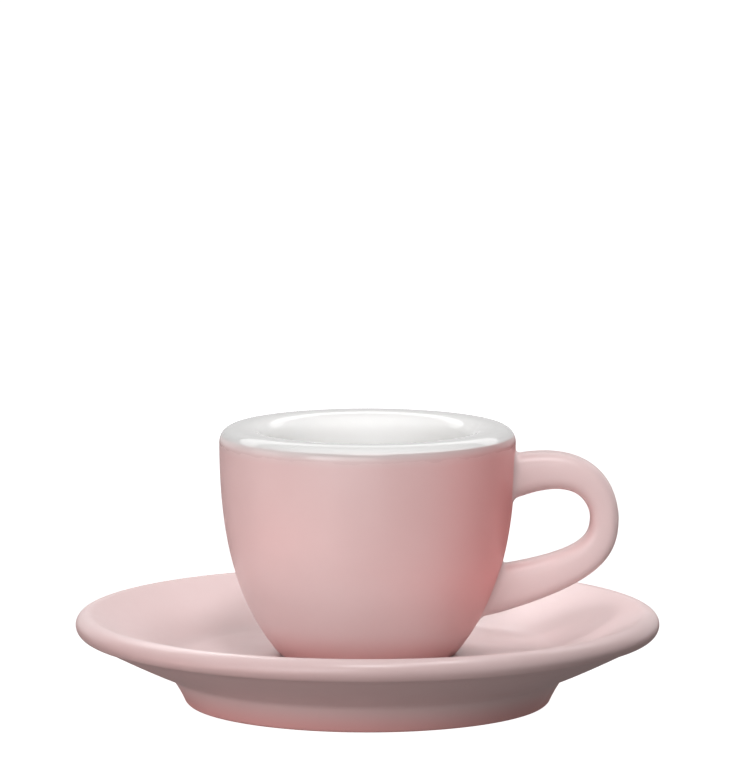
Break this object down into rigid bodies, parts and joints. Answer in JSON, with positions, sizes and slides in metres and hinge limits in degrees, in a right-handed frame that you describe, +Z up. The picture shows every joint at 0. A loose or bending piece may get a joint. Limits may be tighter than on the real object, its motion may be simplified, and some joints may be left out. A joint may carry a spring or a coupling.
{
  "type": "espresso cup and saucer",
  "caption": "Thick-lipped espresso cup with a loop handle, white inside and satin pink outside, standing in the well of a matching round saucer; the cup lifts off.",
  "frame": {"origin": "on the saucer's axis, at the bottom of its foot ring, on the surface that the set stands on", "axes": "+Z up along the axis of the saucer and the cup, +X from that axis towards the cup's handle"},
  "size_m": [0.12, 0.12, 0.057],
  "materials": {
    "pink_glaze": "satin coloured glaze",
    "white_glaze": "glossy white glaze",
    "porcelain": "unglazed, fine and matte",
    "slip": "fired slip, under the glaze"
  },
  "bodies": {
    "saucer": {"saucer_dish": "porcelain", "saucer_glaze": "pink_glaze"},
    "cup": {"cup_bowl": "porcelain", "cup_handle": "porcelain", "upper_handle_joint": "slip", "lower_handle_joint": "slip", "cup_liner_glaze": "white_glaze", "cup_outer_glaze": "pink_glaze"}
  },
  "joints": [
    {"name": "cup_lift", "type": "slide", "parent": "saucer", "child": "cup", "axis": [0, 0, 1], "range_m": [0, 0.1]}
  ]
}
